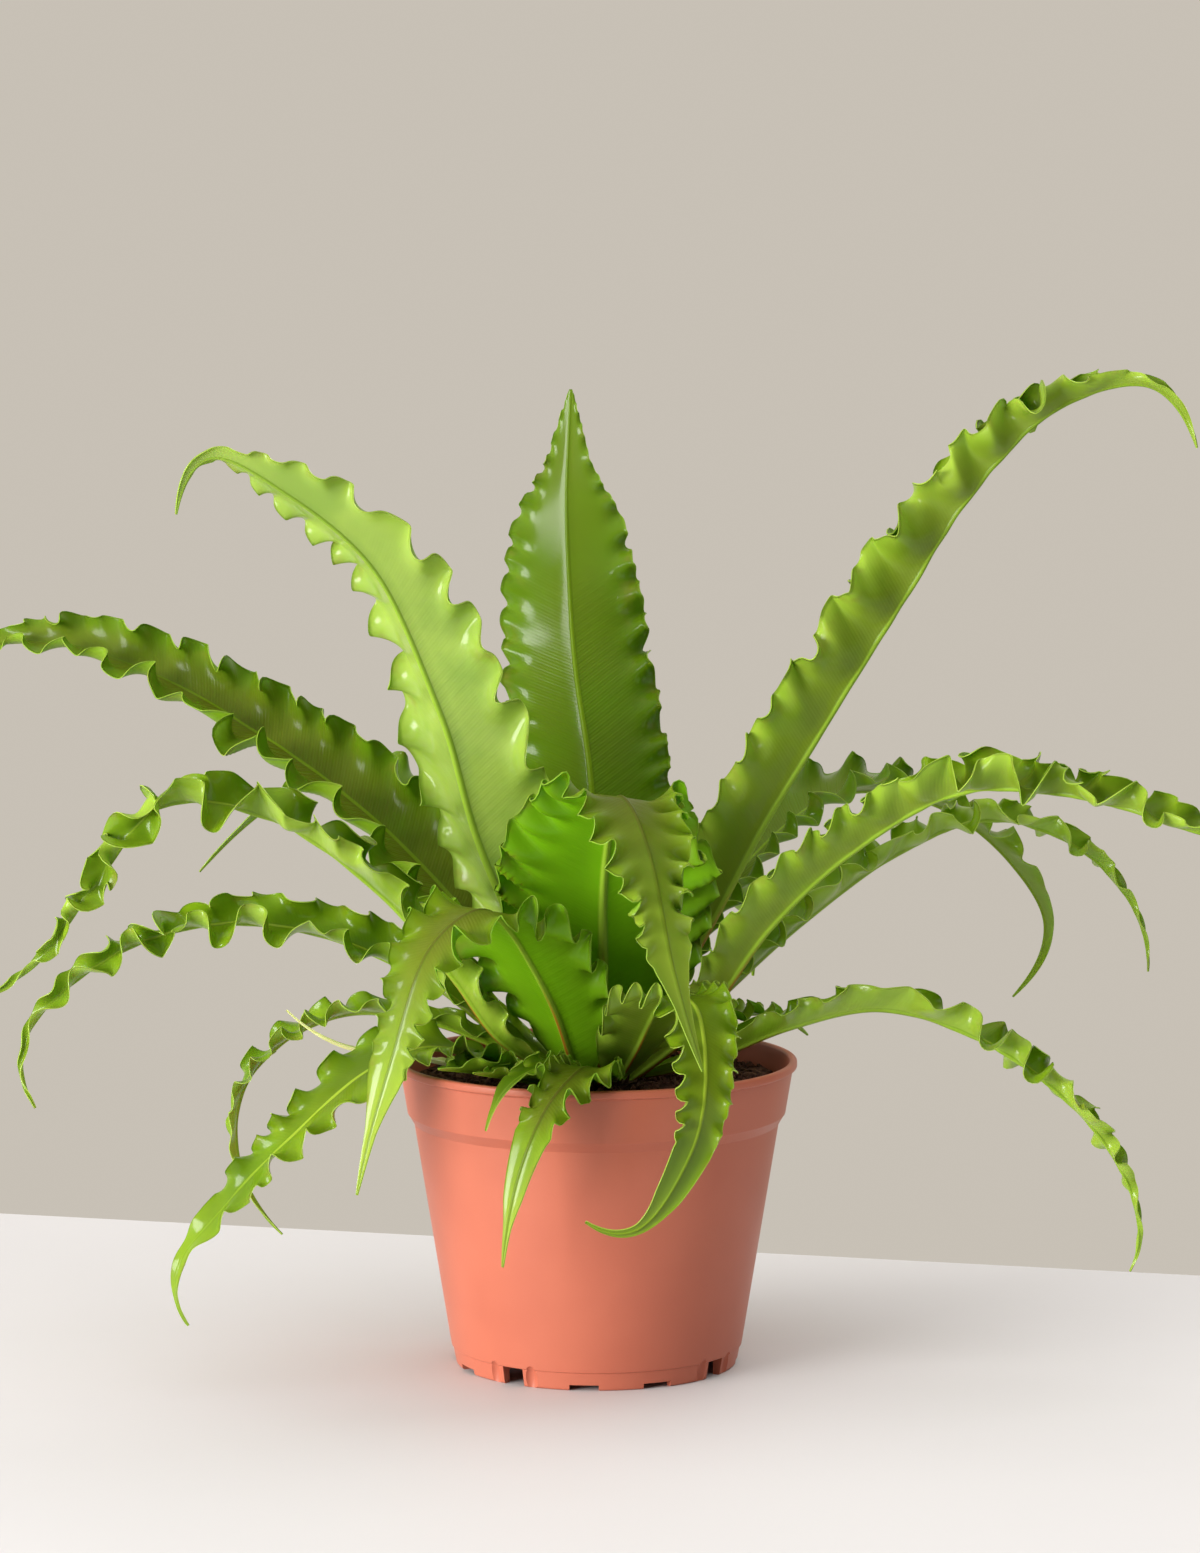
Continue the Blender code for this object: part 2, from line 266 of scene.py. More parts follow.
def turned(name, profile, steps):
    """A profile, as (radius, height) points, turned about the upright axis."""
    mesh = bpy.data.meshes.new(name)
    points = [(radius * MM, 0.0, height * MM) for radius, height in profile]
    mesh.from_pydata(points, [(i, i + 1) for i in range(len(points) - 1)], [])
    thing = bpy.data.objects.new(name, mesh)
    scene.collection.objects.link(thing)
    screw = thing.modifiers.new("turn", "SCREW")
    screw.axis = "Z"
    screw.steps = screw.render_steps = steps
    screw.use_merge_vertices = True
    screw.merge_threshold = 0.00001
    return thing


def finished(thing, body_nodes, material):
    """Dress a piece and tell the frame what it stands for."""
    thing.data.materials.clear()
    thing.data.materials.append(material)
    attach(thing, "root")
    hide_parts(*body_nodes)
    return thing


# %% Cut the feet
SLOT_ANGLES = [radians(-125.0 + 90.0 * quarter) for quarter in range(4)]
CUT_RADIUS = 51.0
THUMB_OFFSET = 8.0


def foot_cutter(kind, angle, radius, height, size):
    """A box or a ball on the foot ring; sizes are across the radius, along the ring, and up."""
    if kind == "box":
        bpy.ops.mesh.primitive_cube_add(size=1.0)
    else:
        bpy.ops.mesh.primitive_uv_sphere_add(segments=24, ring_count=16, radius=0.5)
    cutter = bpy.context.object
    cutter.scale = [side * MM for side in size]
    cutter.rotation_euler.z = angle
    cutter.location = (radius * cos(angle) * MM, radius * sin(angle) * MM, height * MM)
    return cutter


def make_pot():
    pot = turned("grow_pot", pot_profile(), POT_STEPS)
    cutters = []
    for angle in SLOT_ANGLES:
        cutters.append(foot_cutter("box", angle, CUT_RADIUS, 2.8, (14.0, 9.0, 8.0)))
        for hand in (-1, 1):
            beside = angle + hand * THUMB_OFFSET / FOOT_RADIUS
            cutters.append(foot_cutter("ball", beside, FOOT_RADIUS + 3.6, 2.0, (9.0, 7.0, 14.0)))
        for offset in (30.0, 60.0):
            notch = angle + radians(offset)
            cutters.append(foot_cutter("box", notch, CUT_RADIUS, 0.2, (8.0, 11.0, 4.0)))
    for cutter in cutters:
        cut = pot.modifiers.new("cut", "BOOLEAN")
        cut.operation = "DIFFERENCE"
        cut.object = cutter
    pot.data = evaluated_mesh(pot, "grow_pot")
    pot.modifiers.clear()
    for cutter in cutters:
        bpy.data.objects.remove(cutter)
    pot.data.shade_smooth()
    pot.data.set_sharp_from_angle(angle=radians(38.0))
    return finished(pot, ["pot"], pot_plastic())


grow_pot = make_pot()
print("pot faces:", len(grow_pot.data.polygons))

# %% [markdown]
# ## The potting mix
#
# Potting mix for ferns is dark damp peat with crumbs of bark and a few pale fibres. A bumpy disc
# alone looks like mud, so the surface is three things: a plug with an uneven top, a scatter of
# angular crumbs, and short bent fibres. The crumbs share one rough pebble that is turned and
# stretched differently each time.

# %% Potting mix finish
PEAT = (0.034, 0.014, 0.009)
PEAT_LIGHT = (0.110, 0.046, 0.028)
BARK = (0.20, 0.112, 0.066)


def potting_mix_finish():
    finish = Finish("potting_mix", {"Roughness": 0.95, "Specular IOR Level": 0.25})
    shade = finish.noise(2.4, 4.0)
    tone = finish.attribute("tone")
    dark = finish.mix(shade.between(0.35, 0.68), PEAT, PEAT_LIGHT)
    finish.feed("Base Color", finish.mix(tone, dark, BARK))
    finish.bump(finish.noise(0.7, 4.0), 0.5)
    return finish.material


# %% Mesh from arrays
def mesh_object(name, points_mm, faces, smooth=True, **attributes):
    """An object from arrays of points and faces, with one number per point for each attribute."""
    mesh = bpy.data.meshes.new(name)
    places = (np.asarray(points_mm) * MM).tolist()
    mesh.from_pydata(places, [], [list(map(int, face)) for face in faces])
    for label, numbers in attributes.items():
        layer = mesh.attributes.new(label, "FLOAT", "POINT")
        layer.data.foreach_set("value", np.asarray(numbers, dtype=np.float32))
    if smooth:
        mesh.shade_smooth()
    thing = bpy.data.objects.new(name, mesh)
    scene.collection.objects.link(thing)
    return thing


def ring_of_points(radius, turn, height):
    """Points at one radius, one for each angle of turn."""
    return np.stack([radius * np.cos(turn), radius * np.sin(turn), height], axis=1)


def dome_faces(rings, spokes):
    """Faces of a stack of rings, closed by a middle point above the first and below the last."""
    faces = []
    for ring in range(rings - 1):
        for spoke in range(spokes):
            after = (spoke + 1) % spokes
            inner, outer = ring * spokes, (ring + 1) * spokes
            faces.append([inner + spoke, outer + spoke, outer + after, inner + after])
    top, base = rings * spokes, rings * spokes + 1
    last = (rings - 1) * spokes
    for spoke in range(spokes):
        after = (spoke + 1) % spokes
        faces.append([top, spoke, after])
        faces.append([base, last + after, last + spoke])
    return faces


def joined(parts):
    """Stack (points, faces, tone) parts into one set of arrays."""
    points, faces, tones, start = [], [], [], 0
    for part_points, part_faces, tone in parts:
        points.append(part_points)
        faces += [[index + start for index in face] for face in part_faces]
        tones.append(np.full(len(part_points), tone))
        start += len(part_points)
    return np.concatenate(points), faces, np.concatenate(tones)


# %% Potting mix
MIX_TOP = 107.0
MIX_GAP = 0.35
MIX_BASE = FLOOR_TOP + 0.4
MIX_BASE_RADIUS = 51.8
TOP_RINGS = 22


def mix_plug(random):
    """The plug: rings of points from the middle of its uneven top to the middle of its base."""
    spokes = 96
    wall = wall_line(WALL + MIX_GAP)
    below = [point for point in wall[1:] if point[1] < MIX_TOP - 2.0]
    top_radius = wall[0][0] - 0.75
    radii = [*np.linspace(3.0, top_radius, TOP_RINGS), *[radius for radius, _ in below]]
    radii.append(MIX_BASE_RADIUS)
    heights = [MIX_TOP] * TOP_RINGS + [height for _, height in below] + [MIX_BASE]
    turn = np.linspace(0.0, 2.0 * pi, spokes, endpoint=False)
    rings = []
    for ring, (radius, height) in enumerate(zip(radii, heights)):
        lump = np.zeros(spokes)
        if ring < TOP_RINGS - 1:
            lump += random.normal(0.0, 0.55, spokes)
            lump += 0.8 * np.sin(3.0 * turn + radius / 9.0)
        rings.append(ring_of_points(radius, turn, height + lump))
    points = np.concatenate(rings + [[[0.0, 0.0, MIX_TOP]], [[0.0, 0.0, MIX_BASE]]])
    return points, dome_faces(len(rings), spokes), 0.0


def pebble():
    """A small rough ball, shared by every crumb."""
    build = bmesh.new()
    bmesh.ops.create_icosphere(build, subdivisions=1, radius=1.0)
    points = np.array([vertex.co[:] for vertex in build.verts])
    faces = [[vertex.index for vertex in face.verts] for face in build.faces]
    build.free()
    return points, faces


def spin(random):
    """A random turn, as a 3 by 3 matrix."""
    turn, upper = np.linalg.qr(random.normal(size=(3, 3)))
    return turn * np.sign(np.diag(upper))


def crumbs(random, count, reach):
    """Crumbs of peat and bark, strewn evenly out to a radius."""
    shape, faces = pebble()
    for _ in range(count):
        radius = reach * np.sqrt(random.uniform(0.02, 1.0))
        angle = random.uniform(0.0, 2.0 * pi)
        size = random.uniform(0.5, 1.9) * random.uniform(0.55, 1.2, 3)
        rough = shape * random.uniform(0.75, 1.15, (len(shape), 1)) * size
        place = (radius * cos(angle), radius * sin(angle), MIX_TOP + random.uniform(0.0, 1.4))
        yield rough @ spin(random).T + place, faces, random.choice([0.0, 0.0, 0.12, 0.3])


def fibres(random, count, reach):
    """Short bent threads of bark, each a thin three-sided tube."""
    sides = 3
    stations = 6
    corners = np.linspace(0, 2 * pi, sides, endpoint=False)
    for _ in range(count):
        radius = reach * np.sqrt(random.uniform(0.05, 1.0))
        angle = random.uniform(0.0, 2.0 * pi)
        start = np.array([radius * cos(angle), radius * sin(angle), MIX_TOP + 0.8])
        heading = random.uniform(0.0, 2.0 * pi)
        length = random.uniform(4.0, 11.0)
        bend = random.uniform(-0.9, 0.9)
        steps = np.linspace(0.0, 1.0, stations)
        course = heading + bend * steps
        heads = np.stack([np.cos(course), np.sin(course)], axis=1)
        travel = np.cumsum(heads * length / (stations - 1), axis=0)
        line = np.column_stack([start[:2] + travel, start[2] + 1.4 * np.sin(steps * pi)])
        inside = np.linalg.norm(line[:, :2], axis=1) < reach + 1.0
        if not inside.all():
            continue
        sideways = np.stack([-np.sin(course), np.cos(course), np.zeros(stations)], axis=1)
        thick = random.uniform(0.16, 0.34)
        points = []
        for spot, side in zip(line, sideways):
            points += [spot + thick * (cos(a) * side + np.array([0, 0, sin(a)])) for a in corners]
        faces = []
        for foot in range(0, sides * (stations - 1), sides):
            for i in range(sides):
                j = (i + 1) % sides
                faces.append([foot + i, foot + j, foot + sides + j, foot + sides + i])
        end = sides * (stations - 1)
        faces += [[2, 1, 0], [end, end + 1, end + 2]]
        yield np.array(points), faces, random.uniform(0.3, 0.9)


def make_potting_mix():
    random = np.random.default_rng(11)
    parts = [mix_plug(random)]
    parts += crumbs(random, 1500, 69.0)
    parts += fibres(random, 130, 67.0)
    points, faces, tones = joined(parts)
    mix = mesh_object("mix_surface", points, faces, smooth=False, tone=tones)
    return finished(mix, ["potting_mix"], potting_mix_finish())


mix_surface = make_potting_mix()
print("mix faces:", len(mix_surface.data.polygons))

# %% [markdown]
# ## The fronds: where each one goes
#
# The table gives every frond its midrib as a few points from the crown to the tip, the same
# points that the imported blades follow. The other columns say how the blade spreads, folds and
# rolls, and how its edge ruffles. Places run from 0 at the crown to 1 at the tip, and a pair
# holds a value at the crown and one at the tip:
#
# - `slot` names the finish that the blade wears.
# - `width` is the blade's greatest width and `widest` the place where it is reached.
# - `taper` says how long the blade stays wide after that: the more, the longer.
# - `fold` is how many degrees each half rises from the midrib, and `roll` turns both halves.
# - `wave` is the length of one full ruffle, up and down.
# - `curl` is how steeply the edge rises and falls.
# - `band` is where, between midrib and edge, the ruffles begin.
# - `tail` is the share of the tip that stays smooth.
# - `lip` is the angle at which the edge turns, on average: below zero it turns back.
# - `twist` is how far, in degrees, the narrow end swings from side to side like a corkscrew.
# - `cast` is how brown-olive the middle of the blade has become with age, or below zero how
#   pale a young blade still is.

# %% Frond table
class Frond(NamedTuple):
    name: str
    slot: str
    route: tuple
    width: float
    widest: float
    taper: float
    fold: tuple
    roll: tuple
    wave: float
    curl: float
    band: tuple
    tail: float
    lip: float
    twist: float
    cast: float


FRONDS = (
    # The five tall fronds of the inner whorl
    Frond("tall_back", "frond_deep",
          ((0, 9, 112), (0, 20, 170), (-5, 38, 235), (-11, 54, 290), (-10, 66, 367)),
          60, 0.44, 2.8, (-6, -5), (25, 20), 13, 0.85, (0.62, 0.55), 0.0, -25, 0, 0.5),
    Frond("bright_left", "frond_bright",
          ((-8, -1, 112), (-22, -8, 146), (-42, -20, 195), (-58, -34, 250), (-82, -48, 305),
           (-112, -58, 332), (-140, -64, 346), (-152, -64, 326)),
          62, 0.31, 1.9, (40, 28), (-25, -25), 22, 0.8, (0.6, 0.35), 0.04, -8, 0, -0.35),
    Frond("great_right", "frond_bright",
          ((8, -3, 112), (36, -8, 156), (66, -18, 213), (104, -34, 278), (140, -46, 336),
           (168, -54, 364), (200, -60, 372), (217, -64, 350)),
          48, 0.42, 2.1, (52, 45), (5, 0), 18, 1.1, (0.6, 0.25), 0.04, 80, 25, 0.8),
    Frond("long_left", "frond_deep",
          ((-7, 5, 112), (-36, 18, 150), (-72, 32, 190), (-110, 46, 222), (-160, 64, 250),
           (-215, 78, 268), (-270, 86, 256)),
          48, 0.35, 2.0, (25, 30), (32, 35), 22, 1.0, (0.5, 0.15), 0.04, 70, 10, 1.0),
    Frond("fold_centre", "frond_olive",
          ((1, -9, 111), (2, -26, 150), (3, -50, 200), (8, -80, 225), (20, -104, 205),
           (28, -112, 165), (38, -112, 130)),
          88, 0.36, 0.75, (12, -20), (0, 5), 15, 1.35, (0.62, 0.1), 0.16, 20, 0, 0.95),

    # The arching fronds of the middle whorl
    Frond("mid_left", "frond_bright",
          ((-13, -7, 110), (-36, -18, 126), (-54, -28, 152), (-80, -38, 184), (-120, -54, 214),
           (-158, -68, 220), (-182, -74, 192), (-205, -76, 162), (-230, -78, 150)),
          29, 0.3, 1.8, (35, 28), (12, 48), 21, 1.15, (0.4, 0.0), 0.06, 70, 62, 0.3),
    Frond("low_left", "frond_bright",
          ((-15, 6, 110), (-38, 16, 123), (-66, 24, 143), (-108, 26, 160), (-150, 22, 164),
           (-190, 12, 150), (-217, 4, 122), (-213, 0, 97)),
          29, 0.3, 1.4, (38, 25), (12, 42), 20, 1.1, (0.35, 0.0), 0.24, 65, 50, 0.1),
    Frond("behind_left", "frond_deep",
          ((-11, 12, 110), (-34, 44, 153), (-62, 78, 194), (-90, 106, 214), (-122, 122, 204),
           (-160, 128, 171)),
          38, 0.35, 1.4, (20, 20), (0, 0), 17, 0.9, (0.45, 0.25), 0.14, 20, 0, 0.3),
    Frond("fold_left", "frond_olive",
          ((-7, -13, 110), (-16, -34, 140), (-30, -60, 172), (-44, -84, 184), (-60, -98, 172),
           (-74, -104, 132), (-86, -106, 84)),
          56, 0.33, 0.9, (12, -10), (0, 10), 16, 1.25, (0.7, 0.05), 0.2, 25, 0, 1.0),
    Frond("near_right", "frond_bright",
          ((14, -8, 110), (38, -22, 132), (64, -44, 172), (94, -68, 204), (130, -96, 228),
           (168, -122, 230), (206, -145, 221), (244, -160, 208), (267, -165, 194)),
          35, 0.33, 1.8, (45, 35), (-8, -8), 18, 1.1, (0.5, 0.1), 0.05, 75, 35, 0.7),
    Frond("behind_right", "frond_deep",
          ((11, 9, 110), (36, 36, 150), (62, 64, 186), (98, 92, 207), (136, 108, 200),
           (166, 116, 176), (180, 118, 150), (167, 116, 122)),
          40, 0.36, 2.4, (30, 20), (0, 0), 17, 1.0, (0.5, 0.2), 0.16, 40, 0, 0.6),
    Frond("thin_right", "frond_bright",
          ((16, 2, 110), (44, 12, 135), (80, 22, 166), (115, 32, 190), (150, 42, 202),
           (184, 48, 192), (208, 50, 167), (214, 50, 142)),
          24, 0.36, 1.6, (38, 28), (-5, -5), 16, 1.05, (0.3, 0.1), 0.1, 60, 45, 0.1),
    Frond("fold_right", "frond_bright",
          ((8, -15, 110), (15, -34, 125), (26, -62, 149), (37, -86, 148), (40, -97, 125),
           (34, -100, 98), (14, -100, 70), (-4, -100, 73)),
          40, 0.3, 0.95, (12, -20), (0, 0), 14, 1.15, (0.65, 0.15), 0.28, 30, 0, 0.5),
    Frond("back_left", "frond_deep",
          ((-5, 15, 110), (-14, 42, 134), (-32, 78, 164), (-53, 114, 174), (-70, 144, 156),
           (-78, 160, 126)),
          38, 0.36, 1.4, (25, 20), (0, 0), 17, 0.95, (0.45, 0.2), 0.14, 30, 10, 0.3),
    Frond("back_middle", "frond_deep",
          ((2, 16, 110), (4, 42, 156), (7, 76, 200), (9, 112, 208), (10, 144, 184), (8, 164, 138)),
          42, 0.36, 1.4, (25, 20), (0, 0), 18, 0.95, (0.45, 0.2), 0.14, 30, 10, 0.2),
    Frond("back_right", "frond_deep",
          ((8, 15, 110), (20, 42, 137), (36, 78, 168), (50, 112, 177), (60, 142, 156), (64, 160, 124)),
          38, 0.36, 1.4, (25, 20), (0, 0), 17, 0.95, (0.45, 0.2), 0.14, 30, 10, 0.3),

    # The low old fronds of the outer whorl
    Frond("floor_left", "frond_bright",
          ((-18, -9, 110), (-40, -21, 119), (-64, -37, 126), (-86, -52, 119), (-110, -62, 99),
           (-135, -66, 73), (-154, -68, 48), (-150, -68, 28)),
          32, 0.38, 1.1, (15, 15), (0, 20), 17, 1.05, (0.4, 0.15), 0.2, 15, 15, 0.45),
    Frond("hook_left", "frond_bright",
          ((-20, 2, 110), (-42, 3, 122), (-68, 2, 131), (-94, 1, 133), (-118, -1, 123),
           (-134, -4, 104), (-135, -6, 76), (-119, -8, 50)),
          22, 0.4, 1.1, (25, 20), (0, 0), 16, 1.0, (0.2, 0.1), 0.2, 40, 12, 0.1),
    Frond("pale_tip", "frond_pale",
          ((-20, -3.5, 110), (-44, -7, 113), (-70, -13, 119), (-96, -18, 124), (-116, -22, 138)),
          8, 0.4, 1.3, (20, 20), (0, 0), 14, 0.3, (0.5, 0.5), 0.5, 0, 0, 0.0),
    Frond("low_right", "frond_bright",
          ((18, -4, 110), (42, -9, 117), (72, -14, 130), (106, -20, 138), (138, -26, 130),
           (168, -32, 112), (192, -36, 86), (202, -38, 60), (199, -38, 42)),
          23, 0.38, 1.5, (40, 25), (-8, 30), 19, 1.15, (0.3, 0.05), 0.14, 60, 50, 0.1),
    Frond("short_right", "frond_olive",
          ((18, 8, 110), (34, 20, 120), (52, 32, 127), (68, 42, 126), (82, 50, 117)),
          26, 0.4, 1.5, (20, 15), (0, 0), 14, 1.1, (0.4, 0.2), 0.06, 20, 0, 0.6),
    Frond("rim_front", "frond_olive",
          ((1, -19, 110), (0, -42, 118), (-6, -70, 123), (-18, -89, 112), (-28, -95, 88),
           (-34, -93, 55)),
          28, 0.42, 0.8, (12, -15), (0, 0), 12, 1.4, (0.35, 0.1), 0.36, 20, 0, 0.8),
    Frond("rim_small", "frond_bright",
          ((-5, -19, 110), (-11, -43, 117), (-21, -65, 123), (-33, -81, 118), (-40, -88, 104)),
          16, 0.5, 1.0, (20, 20), (0, 0), 12, 1.1, (0.35, 0.15), 0.25, 40, 0, 0.2),
    Frond("base_left", "frond_deep",
          ((-15, -15, 110), (-31, -32, 114), (-46, -48, 119), (-58, -60, 122)),
          28, 0.5, 1.8, (20, 20), (0, 0), 15, 1.15, (0.4, 0.2), 0.05, 40, 0, 0.1),
    Frond("base_front", "frond_deep",
          ((-11, -19, 110), (-21, -37, 113), (-33, -55, 118), (-45, -69, 122)),
          18, 0.5, 1.8, (20, 20), (0, 0), 14, 1.15, (0.3, 0.2), 0.05, 40, 0, 0.1),
)
print("fronds:", len(FRONDS))

# %% [markdown]
# ## The midrib's course
#
# A blade needs a direction at every point: along the midrib, sideways across the blade, and out
# of its upper face. The curve is a cubic through the table's points. The sideways direction
# starts level at the crown and is carried along without twisting, so a frond that arches over
# ends with its upper face outwards, as a real one does.

# %% Midrib course
# The step between stations, and how deep a frond's foot sinks into the crown.
STATION = 0.85
SUNK = 5.0
STALK_WIDTH = 5.0
TIP_WIDTH = 1.0


def unit(vectors):
    return vectors / np.linalg.norm(vectors, axis=-1, keepdims=True)


def smooth_route(points, spacing):
    """Evenly spaced points on one smooth curve through the given ones, and their distances."""
    points = np.array(points, float)
    gaps = np.linalg.norm(np.diff(points, axis=0), axis=1)
    knots = np.concatenate([[0.0], np.cumsum(np.sqrt(gaps))])
    slopes = np.gradient(points, knots, axis=0, edge_order=2)
    fine = np.linspace(0.0, knots[-1], 200 * len(points))
    span = np.clip(np.searchsorted(knots, fine, side="right") - 1, 0, len(points) - 2)
    step = (knots[span + 1] - knots[span])[:, None]
    x = (fine - knots[span])[:, None] / step
    curve = ((2 * x**3 - 3 * x**2 + 1) * points[span]
             + (x**3 - 2 * x**2 + x) * step * slopes[span]
             + (3 * x**2 - 2 * x**3) * points[span + 1]
             + (x**3 - x**2) * step * slopes[span + 1])
    travelled = np.concatenate([[0.0], np.cumsum(np.linalg.norm(np.diff(curve, axis=0), axis=1))])
    even = np.linspace(0.0, travelled[-1], int(travelled[-1] / spacing))
    route = np.stack([np.interp(even, travelled, curve[:, axis]) for axis in range(3)], axis=1)
    return route, even


def blade_frames(route, roll, twist):
    """Along, sideways and face directions at every station; roll in degrees, twist in radians."""
    along = unit(np.gradient(route, axis=0))
    outward = route[len(route) // 2] * (1.0, 1.0, 0.0)
    side = np.cross(outward, (0.0, 0.0, 1.0))
    sides = []
    for direction in along:
        side = unit(side - direction * side.dot(direction))
        sides.append(side)
    sides = np.array(sides)
    faces = np.cross(sides, along)
    angle = (np.radians(np.linspace(roll[0], roll[1], len(route))) + twist)[:, None]
    rolled = sides * np.cos(angle) + faces * np.sin(angle)
    return along, rolled, np.cross(rolled, along)


def blade_widths(frond, place):
    """Width at each place from 0 at the crown to 1 at the tip."""
    spread = np.sin(np.clip(place / frond.widest, 0.0, 1.0) * pi / 2) ** 0.75
    tail = np.clip((place - frond.widest) / (1.0 - frond.widest), 0.0, 1.0)
    drawn_out = np.interp(place, (0.82, 0.90), (1.0, 0.6))
    return np.where(place < frond.widest,
                    STALK_WIDTH + (frond.width - STALK_WIDTH) * spread,
                    TIP_WIDTH + (frond.width - TIP_WIDTH) * (1.0 - tail ** frond.taper) * drawn_out)


# %% [markdown]
# ## Ruffles
#
# The edge of this fern grows faster than its middle. A strip that is too long for its place
# buckles from side to side, and where it is far too long the folds lean over and overlap, like
# the bends of a slow river. Four rules copy that:
#
# 1. Going from the midrib to the edge, the blade first rises out of the midrib's groove and then
#    turns back, which is its `lip`. On top of that it bends up or down by `curl` times a sine of
#    the distance along the frond.
# 2. The position across is the running sum of that bend's cosine, and the lift is the running
#    sum of its sine, so the blade never stretches sideways. Where it bends it gets narrower,
#    and that alone scallops the outline.
# 3. The crests follow the veins, which slant towards the tip. So the sine is read from a point a
#    little nearer the crown, the further out it is.
# 4. The edge also slides along the frond. A slide by the sine of twice the phase rounds each
#    ruffle's top and pinches its neck. Where the lip turns inwards, a slide by the sine itself
#    leans the tops back towards the crown, like waves about to break.
#
# Each side has its own phase, and every ruffle differs a little in length and in height. The
# whole blade also undulates slowly, and in the arching fronds its narrow end corkscrews.

# %% Ruffles
# Columns of points on the rib and beyond it, on each side.
RIB_COLUMNS = 4
BLADE_COLUMNS = 11
# A bent blade looks narrower than it is, so it is cut a little wider.
SPARE_WIDTH = 1.06
# How far tops slide over necks, how far turned-in tops lean, and how far crests slant.
OVERLAP = 0.40
LEAN = 0.50
SLANT = 0.62


def wander(random, distance, spacing):
    """Smooth random numbers along a distance, about -1 to 1."""
    count = int(distance[-1] / spacing) + 4
    knots = random.uniform(-1.0, 1.0, count)
    place = distance / spacing
    first = place.astype(int)
    x = place - first
    x = x * x * (3.0 - 2.0 * x)
    return knots[first] * (1.0 - x) + knots[first + 1] * x


def ruffle_wave(frond, random, distance, half):
    """Length, phase and strength of the ruffles at every station of one edge."""
    place = distance / distance[-1]
    length = frond.wave * (0.55 + 0.45 * half / half.max())
    length *= 1.0 + 0.38 * wander(random, distance, frond.wave)
    phase = np.cumsum(np.gradient(distance) * 2.0 * pi / length) + random.uniform(0.0, 2.0 * pi)
    rise = np.clip((place - 0.05) / 0.12, 0.0, 1.0)
    fade = np.clip((1.0 - place - frond.tail) / 0.10, 0.0, 1.0) if frond.tail > 0.03 else 1.0
    strength = rise * fade * (1.0 + 0.62 * wander(random, distance, frond.wave * 0.9))
    return length, phase, strength


def corkscrew(frond, random, distance, place):
    """How far the blade has turned about its midrib at every station, in radians."""
    length = 1.3 * frond.wave * (1.0 + 0.25 * wander(random, distance, 30.0))
    turn = np.cumsum(np.gradient(distance) * 2.0 * pi / length) + random.uniform(0.0, 2.0 * pi)
    return radians(frond.twist) * np.interp(place, (0.35, 0.65), (0.0, 1.0)) * np.sin(turn)


def from_to(pair, place):
    """A value that changes evenly from the crown to the tip, as one column of stations."""
    return np.interp(place, (0.0, 1.0), pair)[:, None]


def ruffled_half(frond, random, distance, half, rib, hand):
    """One half of the blade, by station and column: its offsets across, up and along."""
    length, phase, strength = ruffle_wave(frond, random, distance, half)
    place = distance / distance[-1]
    near = rib[:, None] * np.linspace(0.0, 1.0, RIB_COLUMNS)
    spread = np.linspace(0.0, 1.0, BLADE_COLUMNS + 1)[1:] ** 0.8
    flat = np.concatenate([near, rib[:, None] + (half - rib)[:, None] * spread], axis=1)
    column = flat / half[:, None]
    behind = distance[:, None] - SLANT * flat
    phase = np.interp(behind, distance, phase)
    strength = np.interp(behind, distance, strength)
    band = from_to(frond.band, place)
    reach = np.clip((column - band) / (1.0 - band), 0.0, 1.0)
    fold = np.radians(from_to(frond.fold, place))
    turned_edge = radians(frond.lip) + radians(12.0) * wander(random, distance, 45.0)[:, None]
    slow = radians(9.0) * wander(random, distance, 24.0)[:, None]
    bend = fold + (turned_edge - fold) * reach**1.2 + slow * column**0.5
    bend = bend + frond.curl * strength * np.sin(phase) * reach**1.1
    bend = bend + 0.30 * strength * np.sin(1.9 * phase + 1.0) * reach**4
    step = np.diff(flat, axis=1, prepend=0.0) * SPARE_WIDTH
    across = np.cumsum(step * np.cos(bend), axis=1) * hand
    lift = np.cumsum(step * np.sin(bend), axis=1)
    lean = LEAN * max(0.0, sin(radians(frond.lip)))
    slide = OVERLAP * frond.curl**2 * np.sin(2.0 * phase) + lean * np.sin(phase)
    slide = -slide * length[:, None] / (2.0 * pi) * strength * reach**1.5
    return across, lift, slide, flat * hand


# %% [markdown]
# ## A frond's mesh
#
# The blade is a closed sheet less than half a millimetre thick: an upper face, an under face and
# a narrow rim that joins them. Both faces are needed because they look different, glossy and
# deep above, paler and satin below. The midrib isn't a separate rod. The sheet swells into it
# with a soft shoulder on both faces, most below, and it thins towards the tip. Six numbers are
# stored on the points for the finishes to read: millimetres across and along, how near the
# midrib and how near the edge a point is, how far towards the tip, and the frond's cast.

# %% Frond mesh
BLADE_THICKNESS = 0.42
RIB_ABOVE = 0.40
RIB_BELOW = 0.75


def sheet_normals(grid):
    """Unit normals of a grid of points."""
    normals = np.cross(np.gradient(grid, axis=1), np.gradient(grid, axis=0))
    return unit(normals + 1e-9)


def grid_faces(rows, columns, start, flip):
    """Four-sided faces of a grid whose points are numbered from start, row by row."""
    index = start + np.arange(rows * columns).reshape(rows, columns)
    corners = [index[:-1, :-1], index[1:, :-1], index[1:, 1:], index[:-1, 1:]]
    if flip:
        corners.reverse()
    return np.stack(corners, axis=-1).reshape(-1, 4)


